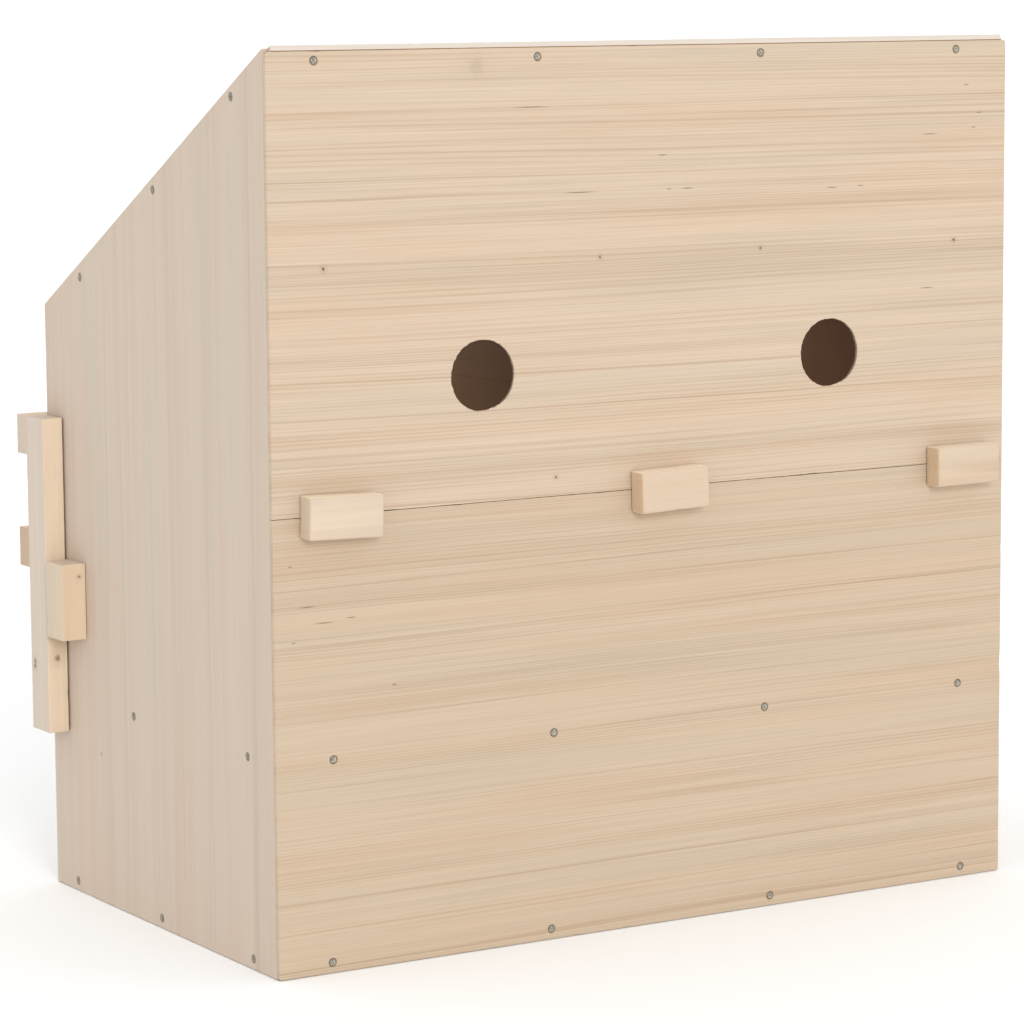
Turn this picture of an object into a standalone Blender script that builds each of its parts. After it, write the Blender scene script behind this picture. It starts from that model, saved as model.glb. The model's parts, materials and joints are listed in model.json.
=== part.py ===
"""Poultry nesting box: two nests side by side under a lean-to roof, with a folding landing perch.

World frame: metres, +Z up, front (entrances and perch) towards -Y, back towards +Y.
The origin is under the middle of the whole object, at the height it stands on.
Thin plywood sheets are screwed to three frames of battens: under the roof, under the nest
floor and at the ground. The perch is modelled folded up, with its rails across the entrances.
"""
from collections import namedtuple
from math import cos, hypot, pi, radians, sin

import bmesh
import bpy
from mathutils import Matrix, Vector

# Driving dimensions of the box
BODY_WIDTH = 0.630
BODY_DEPTH = 0.366
BACK_HEIGHT = 0.645
FRONT_HEIGHT = 0.447
SHEET = 0.004
BATTEN_WIDE = 0.030
BATTEN_THICK = 0.0165
GAP = 0.0003
EASED_EDGE = 0.0007

# Heights above the ground
SEAM_HEIGHT = 0.3223
FLOOR_BATTEN_TOP = 0.1595
SILL_HEIGHT = 0.225
VENT_HEIGHT = 0.412

# Places across the back, measured from the edge at +X, and along a side, measured from the back.
# The screws into the roof frame also have a depth, square to the slope.
VENTS_ACROSS = (0.1675, 0.4665)
VENT_RADIUS = 0.025
VENT_SIDES = 32
BACK_TOP_SCREWS = (0.037, 0.215, 0.405, 0.583)
BACK_FLOOR_SCREWS = (0.045, 0.225, 0.409, 0.589)
BACK_BASE_SCREWS = (0.042, 0.222, 0.414, 0.593)
SIDE_ROOF_SCREWS = ((0.052, 0.0070), (0.176, 0.0081), (0.302, 0.0094))
SIDE_FLOOR_SCREWS = (0.043, 0.225)
SIDE_BASE_SCREWS = (0.039, 0.184, 0.3285)
SCREW_INSET = 0.0075
TOP_SCREW_HEIGHT = 0.6335

# Three short cleats bridge the seam of the back: place across, place above the seam, tilt
CLEAT_LENGTH = 0.058
Cleat = namedtuple("Cleat", "name across above tilt")
CLEATS = (
    Cleat("right", 0.0495, 0.0001, radians(-1.6)),
    Cleat("middle", 0.3200, -0.0005, radians(1.7)),
    Cleat("left", 0.5860, -0.0009, radians(0.5)),
)

# Perch: two arms outside the side sheets and two rails across the front
ARM_GAP = 0.0013
ARM_BOTTOM = 0.1225
ARM_TOP = 0.363
RAIL_CENTRES = (0.2615, 0.348)
STOP_BOTTOM = 0.198
STOP_LENGTH = 0.058
STOP_WIDE = 0.028
STOP_THICK = 0.020
STOP_BEHIND_ARM = 0.0053
STOP_CLEARANCE = 0.0004

# Hardware: countersunk sheet screws, and pan-head pivot screws with washers and spacers
SCREW_LENGTH = 0.018
SHORT_SCREW_LENGTH = 0.011
SCREW_HEAD = 0.0029
SCREW_HEAD_DEPTH = 0.0017
SCREW_SHANK = 0.0015
SCREW_TIP = 0.004
SCREW_SIDES = 8
SCREW_SINK = 0.0001
CLEARANCE = 0.0003
TIP_CLEARANCE = 0.0009
OVERSHOOT = 0.002
PIVOT_SHANK = 0.0025
PIVOT_HEAD = 0.0045
PIVOT_HEAD_DEPTH = 0.0028
PIVOT_LENGTH = 0.0215
PIVOT_TIP = 0.004
WASHER_RADIUS = 0.007
INNER_WASHER = 0.001
WASHER_SIDES = 20

# Derived places
HALF_WIDTH = BODY_WIDTH / 2
FRONT = -BODY_DEPTH / 2
BACK = BODY_DEPTH / 2
RISE = (BACK_HEIGHT - FRONT_HEIGHT) / BODY_DEPTH
SLOPE_LENGTH = hypot(1, RISE)
INNER_HALF = HALF_WIDTH - SHEET - GAP
INNER_FRONT = FRONT + SHEET + GAP
INNER_BACK = BACK - SHEET - GAP
ROOF_UNDERSIDE = SHEET + GAP
BATTEN_UNDERSIDE = ROOF_UNDERSIDE + BATTEN_THICK
ROOF_BATTEN_RUN = BATTEN_WIDE / SLOPE_LENGTH
FLOOR_SHEET_BOTTOM = FLOOR_BATTEN_TOP + GAP
FLOOR_SHEET_TOP = FLOOR_SHEET_BOTTOM + SHEET
PIVOT_Y = FRONT + BATTEN_WIDE / 2
PIVOT_Z = STOP_BOTTOM - STOP_CLEARANCE - BATTEN_WIDE / 2
ARM_CENTRE = HALF_WIDTH + ARM_GAP + BATTEN_THICK / 2
ARM_OUTER = ARM_CENTRE + BATTEN_THICK / 2

BOARDS = {}


def clear_scene():
    for obj in list(bpy.data.objects):
        bpy.data.objects.remove(obj, do_unlink=True)


def make_material(name, colour, roughness, metallic=0.0):
    material = bpy.data.materials.new(name)
    material.use_nodes = True
    shader = material.node_tree.nodes["Principled BSDF"]
    shader.inputs["Base Color"].default_value = (*colour, 1.0)
    shader.inputs["Roughness"].default_value = roughness
    shader.inputs["Metallic"].default_value = metallic
    material.diffuse_color = (*colour, 1.0)
    return material


def add_object(name, bm, material, location=(0, 0, 0)):
    """Turn a bmesh into a named object with its own material."""
    bmesh.ops.recalc_face_normals(bm, faces=bm.faces)
    mesh = bpy.data.meshes.new(name)
    bm.to_mesh(mesh)
    bm.free()
    mesh.materials.append(material)
    obj = bpy.data.objects.new(name, mesh)
    obj.location = location
    bpy.context.collection.objects.link(obj)
    return obj


def wood(name):
    """A pale softwood of the object's own."""
    if "sheet" in name:
        colour = (0.66, 0.55, 0.42) if "back" in name else (0.60, 0.51, 0.41)
        return make_material(name, colour, 0.62)
    return make_material(name, (0.74, 0.60, 0.44), 0.58)


def zinc(name):
    return make_material(name, (0.55, 0.55, 0.53), 0.38, 1.0)


# ---------------------------------------------------------------- boards

def ease_edges(obj):
    """Take the sharpness off a board's long edges."""
    bevel = obj.modifiers.new("eased_edges", "BEVEL")
    bevel.width = EASED_EDGE
    bevel.segments = 1
    bevel.limit_method = "ANGLE"
    bevel.angle_limit = radians(50)


def board(name, size, centre, tilt=0.0, eased=True):
    """A rectangular board with its origin in its middle, turned about Y by tilt."""
    bm = bmesh.new()
    bmesh.ops.create_cube(bm, size=1.0, matrix=Matrix.Diagonal((*size, 1.0)))
    obj = add_object(name, bm, wood(name), centre)
    obj.rotation_euler = (0.0, tilt, 0.0)
    if eased:
        ease_edges(obj)
    BOARDS[name] = obj
    return obj


def prism(name, outline, x_low, x_high):
    """A board cut to an outline in the Y-Z plane and extruded along X; its origin is the first point."""
    bm = bmesh.new()
    start_y, start_z = outline[0]
    half = (x_high - x_low) / 2
    rings = []
    for x in (-half, half):
        rings.append([bm.verts.new((x, y - start_y, z - start_z)) for y, z in outline])
    bm.faces.new(rings[0])
    bm.faces.new(reversed(rings[1]))
    count = len(outline)
    for i in range(count):
        j = (i + 1) % count
        bm.faces.new((rings[0][i], rings[0][j], rings[1][j], rings[1][i]))
    obj = add_object(name, bm, wood(name), (x_low + half, start_y, start_z))
    BOARDS[name] = obj
    return obj


def roof_height(y, depth=0.0):
    """Height at y of the roof's top plane, or of a plane parallel to it and depth below."""
    return FRONT_HEIGHT + RISE * (y - FRONT) - depth * SLOPE_LENGTH


def under_roof(y_low, y_high, top, bottom):
    """Outline of a board parallel to the roof with upright ends."""
    return (
        (y_low, roof_height(y_low, bottom)),
        (y_high, roof_height(y_high, bottom)),
        (y_high, roof_height(y_high, top)),
        (y_low, roof_height(y_low, top)),
    )


def make_side_sheets():
    outline = (
        (FRONT, 0.0),
        (INNER_BACK, 0.0),
        (INNER_BACK, roof_height(INNER_BACK)),
        (FRONT, roof_height(FRONT)),
    )
    prism("side_sheet_right", outline, HALF_WIDTH - SHEET, HALF_WIDTH)
    prism("side_sheet_left", outline, -HALF_WIDTH, SHEET - HALF_WIDTH)


def make_back_sheets():
    """Two sheets meet at the seam; the upper one is cut to the roof's slope along its top."""
    inner = BACK - SHEET
    lower = SEAM_HEIGHT - GAP / 2
    board("back_sheet_lower", (BODY_WIDTH, SHEET, lower), (0, BACK - SHEET / 2, lower / 2), eased=False)
    bottom = SEAM_HEIGHT + GAP / 2
    outline = (
        (inner, bottom),
        (BACK, bottom),
        (BACK, roof_height(BACK, ROOF_UNDERSIDE)),
        (inner, roof_height(inner, ROOF_UNDERSIDE)),
    )
    prism("back_sheet_upper", outline, -HALF_WIDTH, HALF_WIDTH)


def make_roof():
    """The roof sheet lies between the side sheets and over the top of the back sheet."""
    lean = SHEET * RISE / SLOPE_LENGTH
    square = (
        (FRONT + lean, roof_height(FRONT + lean, SHEET)),
        (BACK + GAP, roof_height(BACK + GAP, SHEET)),
        (BACK + GAP - lean, roof_height(BACK + GAP - lean)),
        (FRONT, roof_height(FRONT)),
    )
    prism("roof_sheet", square, -INNER_HALF, INNER_HALF)
    rear = INNER_BACK - ROOF_BATTEN_RUN
    front = FRONT + ROOF_BATTEN_RUN
    levels = (ROOF_UNDERSIDE, BATTEN_UNDERSIDE)
    prism("roof_batten_rear", under_roof(rear, INNER_BACK, *levels), -INNER_HALF, INNER_HALF)
    prism("roof_batten_front", under_roof(FRONT, front, *levels), -INNER_HALF, INNER_HALF)
    between = under_roof(front + GAP, rear - GAP, *levels)
    prism("roof_batten_right", between, INNER_HALF - BATTEN_WIDE, INNER_HALF)
    prism("roof_batten_left", between, -INNER_HALF, BATTEN_WIDE - INNER_HALF)
    divider_side = -SHEET / 2 - GAP
    prism("roof_batten_middle", between, divider_side - BATTEN_WIDE, divider_side)


def make_frame(name, height):
    """Four flat battens in a rectangle, the long ones at the front and the back."""
    long_size = (2 * INNER_HALF, BATTEN_WIDE, BATTEN_THICK)
    z = height - BATTEN_THICK / 2
    board(name + "_batten_rear", long_size, (0, INNER_BACK - BATTEN_WIDE / 2, z))
    board(name + "_batten_front", long_size, (0, INNER_FRONT + BATTEN_WIDE / 2, z))
    run = INNER_BACK - INNER_FRONT - 2 * (BATTEN_WIDE + GAP)
    x = INNER_HALF - BATTEN_WIDE / 2
    board(name + "_batten_right", (BATTEN_WIDE, run, BATTEN_THICK), (x, 0, z))
    board(name + "_batten_left", (BATTEN_WIDE, run, BATTEN_THICK), (-x, 0, z))


def make_floor_and_front():
    depth = INNER_BACK - INNER_FRONT
    centre_z = FLOOR_SHEET_BOTTOM + SHEET / 2
    board("floor_sheet", (2 * INNER_HALF, depth, SHEET), (0, 0, centre_z), eased=False)
    size = (2 * INNER_HALF, SHEET, SILL_HEIGHT)
    board("front_sheet", size, (0, FRONT + SHEET / 2, SILL_HEIGHT / 2), eased=False)


def make_divider():
    """The sheet between the nests, notched round the front and rear roof battens."""
    bottom = FLOOR_SHEET_TOP + GAP
    front = INNER_FRONT
    notch_front = FRONT + ROOF_BATTEN_RUN + GAP
    notch_rear = INNER_BACK - ROOF_BATTEN_RUN - GAP
    low = BATTEN_UNDERSIDE + GAP
    outline = (
        (front, bottom),
        (INNER_BACK, bottom),
        (INNER_BACK, roof_height(INNER_BACK, low)),
        (notch_rear, roof_height(notch_rear, low)),
        (notch_rear, roof_height(notch_rear, ROOF_UNDERSIDE)),
        (notch_front, roof_height(notch_front, ROOF_UNDERSIDE)),
        (notch_front, roof_height(notch_front, low)),
        (front, roof_height(front, low)),
    )
    prism("divider_sheet", outline, -SHEET / 2, SHEET / 2)
    run = INNER_BACK - INNER_FRONT - 2 * BATTEN_WIDE
    x = -SHEET / 2 - GAP - BATTEN_WIDE / 2
    size = (BATTEN_WIDE, run, BATTEN_THICK)
    board("divider_foot_batten", size, (x, 0, bottom + BATTEN_THICK / 2))


def make_cleats():
    size = (CLEAT_LENGTH, BATTEN_THICK, BATTEN_WIDE)
    y = BACK + GAP + BATTEN_THICK / 2
    for cleat in CLEATS:
        place = (HALF_WIDTH - cleat.across, y, SEAM_HEIGHT + cleat.above)
        board("back_cleat_" + cleat.name, size, place, tilt=cleat.tilt)


def make_stop_blocks():
    """The arms' tails come up against these blocks when the perch is down."""
    size = (STOP_THICK, STOP_WIDE, STOP_LENGTH)
    x = HALF_WIDTH + GAP + STOP_THICK / 2
    y = FRONT + BATTEN_WIDE + STOP_BEHIND_ARM + STOP_WIDE / 2
    z = STOP_BOTTOM + STOP_LENGTH / 2
    board("stop_block_right", size, (x, y, z))
    board("stop_block_left", size, (-x, y, z))


def make_perch():
    """Arms and rails hang on an empty that lies on the hinge axis."""
    pivot = bpy.data.objects.new("perch_pivot", None)
    pivot.location = (0, PIVOT_Y, PIVOT_Z)
    bpy.context.collection.objects.link(pivot)
    arm_size = (BATTEN_THICK, BATTEN_WIDE, ARM_TOP - ARM_BOTTOM)
    arm_z = (ARM_TOP + ARM_BOTTOM) / 2 - PIVOT_Z
    rail_size = (2 * ARM_OUTER, BATTEN_THICK, BATTEN_WIDE)
    rail_y = FRONT - GAP - BATTEN_THICK / 2 - PIVOT_Y
    pieces = [
        board("perch_arm_right", arm_size, (ARM_CENTRE, 0, arm_z)),
        board("perch_arm_left", arm_size, (-ARM_CENTRE, 0, arm_z)),
        board("perch_rail_lower", rail_size, (0, rail_y, RAIL_CENTRES[0] - PIVOT_Z)),
        board("perch_rail_upper", rail_size, (0, rail_y, RAIL_CENTRES[1] - PIVOT_Z)),
    ]
    for piece in pieces:
        piece.parent = pivot
    return pivot


# ---------------------------------------------------------------- fasteners and their holes

Row = namedtuple("Row", "name length heads direction through")


def turned(bm, rings, sides, place):
    """Add a closed turned solid to bm; rings are radius and depth pairs, and a zero radius is a point."""
    loops = []
    for radius, depth in rings:
        if radius == 0:
            loops.append([bm.verts.new(place @ Vector((0, 0, depth)))])
            continue
        loop = []
        for i in range(sides):
            turn = 2 * pi * i / sides
            point = Vector((radius * cos(turn), radius * sin(turn), depth))
            loop.append(bm.verts.new(place @ point))
        loops.append(loop)
    for upper, lower in zip(loops, loops[1:]):
        for i in range(sides):
            j = (i + 1) % sides
            if len(lower) == 1:
                bm.faces.new((upper[i], upper[j], lower[0]))
            else:
                bm.faces.new((upper[i], upper[j], lower[j], lower[i]))
    bm.faces.new(loops[0])
    if len(loops[-1]) > 1:
        bm.faces.new(reversed(loops[-1]))


def screw_rings(length):
    """Countersunk head, plain shank and point."""
    return (
        (SCREW_HEAD, SCREW_SINK),
        (SCREW_SHANK, SCREW_HEAD_DEPTH + SCREW_SINK),
        (SCREW_SHANK, length - SCREW_TIP),
        (0, length),
    )


def hole_rings(length):
    """The hole round such a screw, open past the surface of the board."""
    return (
        (SCREW_HEAD + CLEARANCE, -OVERSHOOT),
        (SCREW_HEAD + CLEARANCE, SCREW_SINK),
        (SCREW_SHANK + CLEARANCE, SCREW_HEAD_DEPTH + SCREW_SINK),
        (SCREW_SHANK + CLEARANCE, length - SCREW_TIP),
        (0, length + TIP_CLEARANCE),
    )


def facing(point, direction):
    """Matrix that puts a turned solid's own axis along direction, starting at point."""
    turn = Vector(direction).to_track_quat("Z", "Y").to_matrix().to_4x4()
    return Matrix.Translation(point) @ turn


def across(distances, y, z):
    """Points at these distances from the edge at +X."""
    return [(HALF_WIDTH - distance, y, z) for distance in distances]


def under_slope(places):
    """Points on the right side at these distances from the back and depths under the slope."""
    return [(HALF_WIDTH, BACK - distance, roof_height(BACK - distance, depth)) for distance, depth in places]


def level(distances, z):
    """Points on the right side at these distances from the back, all at one height."""
    return [(HALF_WIDTH, BACK - distance, z) for distance in distances]


def screw_rows():
    """Rows of screws through the back and right sheets into the battens."""
    floor_row = FLOOR_BATTEN_TOP - BATTEN_THICK / 2
    forward = (0, -1, 0)
    inward = (-1, 0, 0)
    return (
        Row("back_top_screw", SHORT_SCREW_LENGTH, across(BACK_TOP_SCREWS, BACK, TOP_SCREW_HEIGHT),
            forward, ("back_sheet_upper", "roof_batten_rear")),
        Row("back_floor_screw", SCREW_LENGTH, across(BACK_FLOOR_SCREWS, BACK, floor_row),
            forward, ("back_sheet_lower", "floor_batten_rear")),
        Row("back_base_screw", SCREW_LENGTH, across(BACK_BASE_SCREWS, BACK, SCREW_INSET),
            forward, ("back_sheet_lower", "base_batten_rear")),
        Row("side_roof_screw", SCREW_LENGTH, under_slope(SIDE_ROOF_SCREWS),
            inward, ("side_sheet_right", "roof_batten_right")),
        Row("side_floor_screw", SCREW_LENGTH, level(SIDE_FLOOR_SCREWS, floor_row),
            inward, ("side_sheet_right", "floor_batten_right")),
        Row("side_base_screw", SCREW_LENGTH, level(SIDE_BASE_SCREWS, SCREW_INSET),
            inward, ("side_sheet_right", "base_batten_right")),
    )


def add_screws(row):
    for number, head in enumerate(row.heads, start=1):
        bm = bmesh.new()
        turned(bm, screw_rings(row.length), SCREW_SIDES, facing((0, 0, 0), row.direction))
        name = f"{row.name}_{number}"
        add_object(name, bm, zinc(name), head)


def add_cutter(name, bm, board_names):
    """Take a wire-only cutter out of the named boards."""
    cutter = add_object(name, bm, zinc(name))
    cutter.hide_render = True
    cutter.display_type = "WIRE"
    for board_name in board_names:
        cut = BOARDS[board_name].modifiers.new(name, "BOOLEAN")
        cut.operation = "DIFFERENCE"
        cut.solver = "EXACT"
        cut.object = cutter


def drill(row):
    bm = bmesh.new()
    for head in row.heads:
        turned(bm, hole_rings(row.length), SCREW_SIDES, facing(head, row.direction))
    add_cutter("cutter_" + row.name, bm, row.through)


def drill_vents():
    bm = bmesh.new()
    wall = ((VENT_RADIUS, -OVERSHOOT), (VENT_RADIUS, SHEET + OVERSHOOT))
    for point in across(VENTS_ACROSS, BACK, VENT_HEIGHT):
        turned(bm, wall, VENT_SIDES, facing(point, (0, -1, 0)))
    add_cutter("cutter_vents", bm, ("back_sheet_upper",))


def ring(bm, hole, radius, low, high, place):
    """A flat washer: two walls joined by two faces."""
    walls = []
    for wall_radius, depth in ((hole, low), (hole, high), (radius, high), (radius, low)):
        loop = []
        for i in range(WASHER_SIDES):
            turn = 2 * pi * i / WASHER_SIDES
            point = Vector((wall_radius * cos(turn), wall_radius * sin(turn), depth))
            loop.append(bm.verts.new(place @ point))
        walls.append(loop)
    for k in range(len(walls)):
        first = walls[k]
        second = walls[(k + 1) % len(walls)]
        for i in range(WASHER_SIDES):
            j = (i + 1) % WASHER_SIDES
            bm.faces.new((first[i], first[j], second[j], second[i]))


def hang(name, bm, perch, place):
    """An object that turns with the perch; bm is shaped about the hinge axis, at place along it."""
    obj = add_object(name, bm, zinc(name), place - perch.location)
    obj.parent = perch


def make_pivots(perch):
    """Pan-head screws from inside, through washer, side sheet and spacer, into each arm."""
    inner_face = -SHEET - GAP
    head_low = inner_face - INNER_WASHER - GAP
    bore = PIVOT_SHANK + CLEARANCE
    pan = (
        (PIVOT_HEAD * 0.7, head_low - PIVOT_HEAD_DEPTH),
        (PIVOT_HEAD, head_low - PIVOT_HEAD_DEPTH * 0.6),
        (PIVOT_HEAD, head_low),
        (PIVOT_SHANK, head_low),
        (PIVOT_SHANK, head_low + PIVOT_LENGTH - PIVOT_TIP),
        (0, head_low + PIVOT_LENGTH),
    )
    wall = ((bore, inner_face - OVERSHOOT), (bore, head_low + PIVOT_LENGTH + CLEARANCE))
    holes = bmesh.new()
    for side, name in ((1, "right"), (-1, "left")):
        outward = (side, 0, 0)
        face = Vector((side * HALF_WIDTH, PIVOT_Y, PIVOT_Z))
        turn = facing((0, 0, 0), outward)
        screw, washer, spacer = bmesh.new(), bmesh.new(), bmesh.new()
        turned(screw, pan, WASHER_SIDES, turn)
        ring(washer, bore, WASHER_RADIUS, head_low + GAP, inner_face, turn)
        ring(spacer, bore, WASHER_RADIUS, GAP, ARM_GAP - GAP, turn)
        hang("pivot_screw_" + name, screw, perch, face)
        hang("pivot_washer_" + name, washer, perch, face)
        hang("pivot_spacer_" + name, spacer, perch, face)
        turned(holes, wall, WASHER_SIDES, facing(face, outward))
    through = ("side_sheet_right", "side_sheet_left", "perch_arm_right", "perch_arm_left")
    add_cutter("cutter_pivots", holes, through)


def main():
    clear_scene()
    make_side_sheets()
    make_back_sheets()
    make_roof()
    make_frame("floor", FLOOR_BATTEN_TOP)
    make_frame("base", BATTEN_THICK)
    make_floor_and_front()
    make_divider()
    make_cleats()
    make_stop_blocks()
    perch = make_perch()
    for row in screw_rows():
        drill(row)
        add_screws(row)
    drill_vents()
    make_pivots(perch)


main()
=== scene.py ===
"""Looks of a twin hen nesting box: plywood sheets, softwood battens, screws, floor, light and camera.

Metres, +Z up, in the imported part's frame: the back faces +Y and the folded perch is at the front, -Y.
"""
import json
from collections import namedtuple
from math import atan, cos, hypot, pi, radians, sin

import bmesh
import bpy
from mathutils import Matrix, Vector, noise
from mathutils.geometry import tessellate_polygon


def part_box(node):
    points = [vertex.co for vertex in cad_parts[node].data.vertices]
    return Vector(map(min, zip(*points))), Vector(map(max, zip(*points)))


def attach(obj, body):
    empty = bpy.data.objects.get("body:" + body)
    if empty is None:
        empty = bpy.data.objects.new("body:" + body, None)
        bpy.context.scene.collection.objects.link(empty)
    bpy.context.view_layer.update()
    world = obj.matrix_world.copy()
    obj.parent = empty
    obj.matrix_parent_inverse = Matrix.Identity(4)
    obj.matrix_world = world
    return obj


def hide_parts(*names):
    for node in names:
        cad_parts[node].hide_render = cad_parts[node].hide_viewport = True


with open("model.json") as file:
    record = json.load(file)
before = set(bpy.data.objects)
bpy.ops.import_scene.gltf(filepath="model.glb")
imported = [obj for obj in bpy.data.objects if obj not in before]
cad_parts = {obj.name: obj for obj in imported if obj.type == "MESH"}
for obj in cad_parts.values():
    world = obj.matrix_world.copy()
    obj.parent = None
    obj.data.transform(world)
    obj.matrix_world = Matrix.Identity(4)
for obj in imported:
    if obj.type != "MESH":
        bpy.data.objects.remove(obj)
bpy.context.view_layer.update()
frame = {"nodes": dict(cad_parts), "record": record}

# Camera: behind the box, just above its top, about 2.9 m away; lens and sensor in millimetres
CAMERA_PLACE = (1.53285, 2.50848, 0.67796)
CAMERA_AZIMUTH = radians(148.7885)
CAMERA_DOWN = radians(7.6309)
CAMERA_ROLL = radians(-0.4429)
CAMERA_LENS = 136.256
CAMERA_SENSOR = 36.0

# The box's own measures that the frame doesn't give directly; the cleats' tilts are in degrees
FRONT_HEIGHT = 0.447
CLEAT_LENGTH = 0.058
CLEAT_HEIGHT = 0.030
BATTEN_THICK = 0.0165
CLEAT_TILTS = {"back_cleat_right": -1.6, "back_cleat_middle": 1.7, "back_cleat_left": 0.5}
SHEET = 0.004
GAP = 0.0003
VENT_RADIUS = 0.025

# A sheet screw and its countersunk hole: a length, a depth and radii
SCREW_LENGTH = 0.018
SCREW_HEAD = 0.0029
SCREW_SHANK = 0.0015
RIM_START = 0.0019
SINK_RADIUS = 0.0032
SINK_DEPTH = 0.0020
BORE_RADIUS = 0.0019

# How finely the meshes are cut, and how far a cut edge is eased
EDGE_STEP = 0.004
PLANK_STEP = 0.005
CORNER_STEPS = 6
SCREW_SIDES = 32
SINK_SIDES = 20
VENT_SIDES = 96
SHEET_EASE = 0.00022
SHARP_ANGLE = radians(34)

# Small natural marks of the back, as places in X and Z: pin knots with a radius and a depth of colour,
# and short dark checks with a length
PIN_KNOTS_UPPER = (
    (0.273, 0.492, 0.0012, 1.0), (0.049, 0.491, 0.0010, 0.8), (-0.090, 0.492, 0.0010, 0.8),
    (-0.267, 0.491, 0.0011, 0.9), (0.087, 0.336, 0.0010, 0.8), (0.150, 0.628, 0.0060, 0.16))
CHECKS_UPPER = (
    (0.106, 0.5985, 0.036), (0.066, 0.5375, 0.033), (-0.0045, 0.562, 0.011), (-0.010, 0.5375, 0.006),
    (-0.026, 0.5375, 0.014), (-0.154, 0.534, 0.014), (-0.180, 0.5345, 0.007), (-0.244, 0.571, 0.019),
    (-0.278, 0.607, 0.006), (-0.290, 0.586, 0.006), (-0.285, 0.575, 0.006), (-0.242, 0.456, 0.018))
CHECKS_LOWER = (
    (0.302, 0.289, 0.005), (0.289, 0.260, 0.017), (0.276, 0.248, 0.019), (0.2545, 0.250, 0.010),
    (0.300, 0.236, 0.004), (0.221, 0.1995, 0.006))

side_low, side_high = (Vector(corner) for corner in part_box("side_sheet_right"))
RISE = (side_high.z - FRONT_HEIGHT) / (side_high.y - side_low.y)
SLOPE = atan(RISE)


# ---------------------------------------------------------------- shader building

class Graph:
    """A short way to write a material's nodes."""

    def __init__(self, name):
        self.material = bpy.data.materials.new(name)
        self.material.use_nodes = True
        self.tree = self.material.node_tree
        self.shader = self.tree.nodes["Principled BSDF"]

    def node(self, kind, *inputs, **settings):
        made = self.tree.nodes.new("ShaderNode" + kind)
        for key, value in settings.items():
            setattr(made, key, value)
        for socket, value in zip(made.inputs, inputs):
            self.feed(socket, value)
        return made

    def feed(self, socket, value):
        if isinstance(value, bpy.types.NodeSocket):
            self.tree.links.new(value, socket)
        else:
            socket.default_value = value

    def math(self, operation, *inputs):
        return self.node("Math", *inputs, operation=operation).outputs[0]

    def vector(self, x, y, z):
        return self.node("CombineXYZ", x, y, z).outputs[0]

    def noise(self, vector, scale=1.0, detail=3.0, roughness=0.55):
        made = self.node("TexNoise")
        self.feed(made.inputs["Vector"], vector)
        made.inputs["Scale"].default_value = scale
        made.inputs["Detail"].default_value = detail
        made.inputs["Roughness"].default_value = roughness
        return made.outputs["Fac"]

    def ramp(self, value, low, high, to_low=0.0, to_high=1.0):
        """value's range from low to high, stretched smoothly over the new range."""
        made = self.node("MapRange", value, low, high, to_low, to_high, interpolation_type="SMOOTHSTEP")
        return made.outputs[0]

    def mix(self, share, first, second, blend="MIX"):
        made = self.node("Mix", data_type="RGBA", blend_type=blend)
        self.feed(made.inputs["Factor"], share)
        self.feed(made.inputs[6], first)
        self.feed(made.inputs[7], second)
        return made.outputs[2]

    def largest(self, values):
        result = values[0]
        for value in values[1:]:
            result = self.math("MAXIMUM", result, value)
        return result

    def surface(self, colour, roughness, height, bump_strength, bump_distance):
        """Wire the shader, with a bump from a height, and give back the material."""
        bump = self.node("Bump")
        bump.inputs["Strength"].default_value = bump_strength
        bump.inputs["Distance"].default_value = bump_distance
        self.feed(bump.inputs["Height"], height)
        self.feed(self.shader.inputs["Base Color"], colour)
        self.feed(self.shader.inputs["Roughness"], roughness)
        self.feed(self.shader.inputs["Normal"], bump.outputs[0])
        return self.material


def rgb(red, green, blue):
    """Display colour, 0 to 255, as the shader's linear colour."""
    linear = [((c / 255 + 0.055) / 1.055) ** 2.4 for c in (red, green, blue)]
    return (*linear, 1.0)


# A wood's colours: ground, warm and cool streaks and dark lines, how strong the figure is, and the gap
# between its lines in metres. The second colour also covers a batten's narrow faces all over: painted
# light, making them lighter as if lit.
Grain = namedtuple("Grain", "base warm cool line strength line_gap")
BACK_UPPER = Grain(
    rgb(200, 180, 158), rgb(201, 178, 154), rgb(197, 179, 157), rgb(160, 129, 98), 1.0, 0.031)
BACK_LOWER = Grain(
    rgb(194, 174, 151), rgb(195, 172, 147), rgb(191, 173, 150), rgb(154, 124, 94), 0.85, 0.024)
SIDE = Grain(
    rgb(201, 184, 168), rgb(201, 182, 165), rgb(198, 184, 167), rgb(166, 145, 124), 0.5, 0.020)
ROOF = Grain(
    rgb(208, 198, 186), rgb(208, 195, 182), rgb(204, 197, 186), rgb(176, 154, 132), 0.5, 0.024)
BATTEN = Grain(
    rgb(205, 191, 178), rgb(219, 199, 174), rgb(200, 188, 175), rgb(182, 148, 112), 0.6, 0.011)
# Painted light: the block's second colour makes its narrow front and rear faces lighter, as if lit
BLOCK = BATTEN._replace(base=rgb(204, 187, 166), warm=rgb(217, 194, 165))


# Painted light: a cleat's second colour, much lighter than its ground, lights its top and other narrow
# faces
def cleat_grain(base):
    return Grain(base, rgb(234, 215, 190), rgb(200, 186, 164), rgb(182, 152, 120), 0.3, 0.012)


# Each cleat's own ground colour and the colour of its sawn ends
CLEAT_TONES = {
    "back_cleat_right": (rgb(198, 179, 159), rgb(192, 168, 142)),
    "back_cleat_middle": (rgb(199, 178, 154), rgb(194, 152, 108)),
    "back_cleat_left": (rgb(188, 164, 140), rgb(194, 152, 106)),
}
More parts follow.
